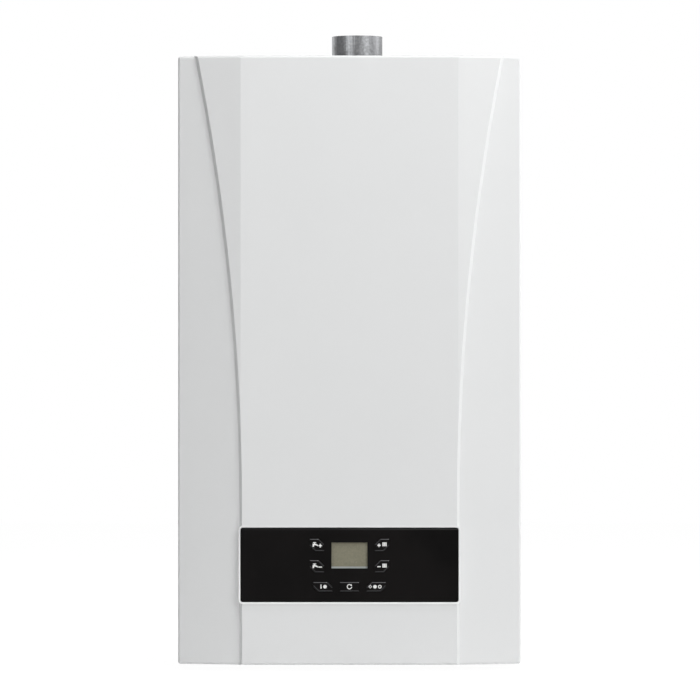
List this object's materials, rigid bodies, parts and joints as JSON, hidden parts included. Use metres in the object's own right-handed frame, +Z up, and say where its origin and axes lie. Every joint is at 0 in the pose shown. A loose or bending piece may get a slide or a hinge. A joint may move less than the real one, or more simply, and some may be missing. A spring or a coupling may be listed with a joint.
{
  "type": "wall-mounted gas boiler",
  "caption": "Wall-hung fan-flued gas boiler with a white pressed casing, curved creases, black control fascia and a top flue stub.",
  "frame": {"origin": "bottom middle of the rear frame, on the wall face", "axes": "+Z up, +X to the right seen from the front, +Y into the wall"},
  "size_m": [0.395, 0.2804, 0.7365],
  "materials": {
    "white_enamel": "satin powder coat with a fine orange peel",
    "zinc_sheet": "galvanised sheet",
    "bright_steel": "brushed",
    "flue_metal": "satin",
    "black_gloss": "gloss",
    "black_key": "satin",
    "dark_plastic": "fine texture",
    "grey_plastic": "fine texture",
    "white_plastic": "satin",
    "red_plastic": "satin",
    "blue_plastic": "satin",
    "clear_window": "polished",
    "display_grey": "satin",
    "board_green": "solder mask",
    "copper": "drawn tube",
    "brass": "cast",
    "cast_black": "painted casting",
    "aluminium_cast": "cast",
    "fibre_board": "matt fibre",
    "ceramic_white": "glazed",
    "vessel_red": "gloss",
    "silicone": "soft",
    "hose_braid": "braided"
  },
  "bodies": {
    "chassis": {"air_box": "zinc_sheet", "air_box_cover": "zinc_sheet", "air_pressure_switch": "grey_plastic", "air_vent": "brass", "burner": "bright_steel", "combustion_chamber": "bright_steel", "control_box": "dark_plastic", "control_cover": "dark_plastic", "control_fascia": "black_gloss", "cover_screws": "bright_steel", "display_board": "board_green", "display_module": "display_grey", "display_window": "clear_window", "diverter_motor": "white_plastic", "exchanger_bends": "copper", "expansion_vessel": "vessel_red", "fan_housing": "zinc_sheet", "fan_motor": "dark_plastic", "flame_sensor": "ceramic_white", "flow_group": "brass", "flow_pipe": "copper", "flue_hood": "zinc_sheet", "flue_stub": "flue_metal", "front_rail": "zinc_sheet", "gas_inlet_pipe": "brass", "gas_manifold": "aluminium_cast", "gas_supply_pipe": "copper", "gas_valve": "aluminium_cast", "heat_exchanger": "copper", "hinge_pins": "bright_steel", "ignition_electrodes": "ceramic_white", "injectors": "brass", "insulation_boards": "fibre_board", "key_switches": "grey_plastic", "main_board": "board_green", "pipe_bracket": "zinc_sheet", "plate_exchanger": "bright_steel", "pressure_tubes": "silicone", "pump_motor": "cast_black", "rear_frame": "zinc_sheet", "return_group": "brass", "return_pipe": "copper", "safety_valve": "brass", "side_panel_left": "white_enamel", "side_panel_right": "white_enamel", "sight_glass": "clear_window", "top_panel": "white_enamel", "vessel_hose": "hose_braid"},
    "casing": {"front_casing": "white_enamel", "casing_screws": "bright_steel"},
    "fan_wheel": {"fan_impeller": "bright_steel"},
    "safety_cap": {"safety_knob": "red_plastic"},
    "filling_cap": {"filling_knob": "blue_plastic"},
    "key_heating_minus_body": {"key_heating_minus": "black_key"},
    "key_heating_plus_body": {"key_heating_plus": "black_key"},
    "key_power_body": {"key_power": "black_key"},
    "key_reset_body": {"key_reset": "black_key"},
    "key_season_body": {"key_season": "black_key"},
    "key_water_minus_body": {"key_water_minus": "black_key"},
    "key_water_plus_body": {"key_water_plus": "black_key"}
  },
  "joints": [
    {"name": "casing_off", "type": "slide", "parent": "chassis", "child": "casing", "axis": [0, -1, 0], "range_m": [0, 0.4]},
    {"name": "fan_spin", "type": "hinge", "parent": "chassis", "child": "fan_wheel", "pos_m": [-0.013, -0.164, 0.618], "axis": [0, 1, 0], "continuous": true},
    {"name": "safety_turn", "type": "hinge", "parent": "chassis", "child": "safety_cap", "pos_m": [-0.13, -0.185, 0.06], "axis": [0, -1, 0], "range_deg": [0, 90]},
    {"name": "filling_turn", "type": "hinge", "parent": "chassis", "child": "filling_cap", "pos_m": [0.097, -0.15, 0.085], "axis": [0, -1, 0], "range_deg": [0, 90]},
    {"name": "key_heating_minus_press", "type": "slide", "parent": "chassis", "child": "key_heating_minus_body", "axis": [0, 1, 0], "range_m": [0, 0.0008], "stiffness_N_per_m": 500},
    {"name": "key_heating_plus_press", "type": "slide", "parent": "chassis", "child": "key_heating_plus_body", "axis": [0, 1, 0], "range_m": [0, 0.0008], "stiffness_N_per_m": 500},
    {"name": "key_power_press", "type": "slide", "parent": "chassis", "child": "key_power_body", "axis": [0, 1, 0], "range_m": [0, 0.0008], "stiffness_N_per_m": 500},
    {"name": "key_reset_press", "type": "slide", "parent": "chassis", "child": "key_reset_body", "axis": [0, 1, 0], "range_m": [0, 0.0008], "stiffness_N_per_m": 500},
    {"name": "key_season_press", "type": "slide", "parent": "chassis", "child": "key_season_body", "axis": [0, 1, 0], "range_m": [0, 0.0008], "stiffness_N_per_m": 500},
    {"name": "key_water_minus_press", "type": "slide", "parent": "chassis", "child": "key_water_minus_body", "axis": [0, 1, 0], "range_m": [0, 0.0008], "stiffness_N_per_m": 500},
    {"name": "key_water_plus_press", "type": "slide", "parent": "chassis", "child": "key_water_plus_body", "axis": [0, 1, 0], "range_m": [0, 0.0008], "stiffness_N_per_m": 500}
  ]
}
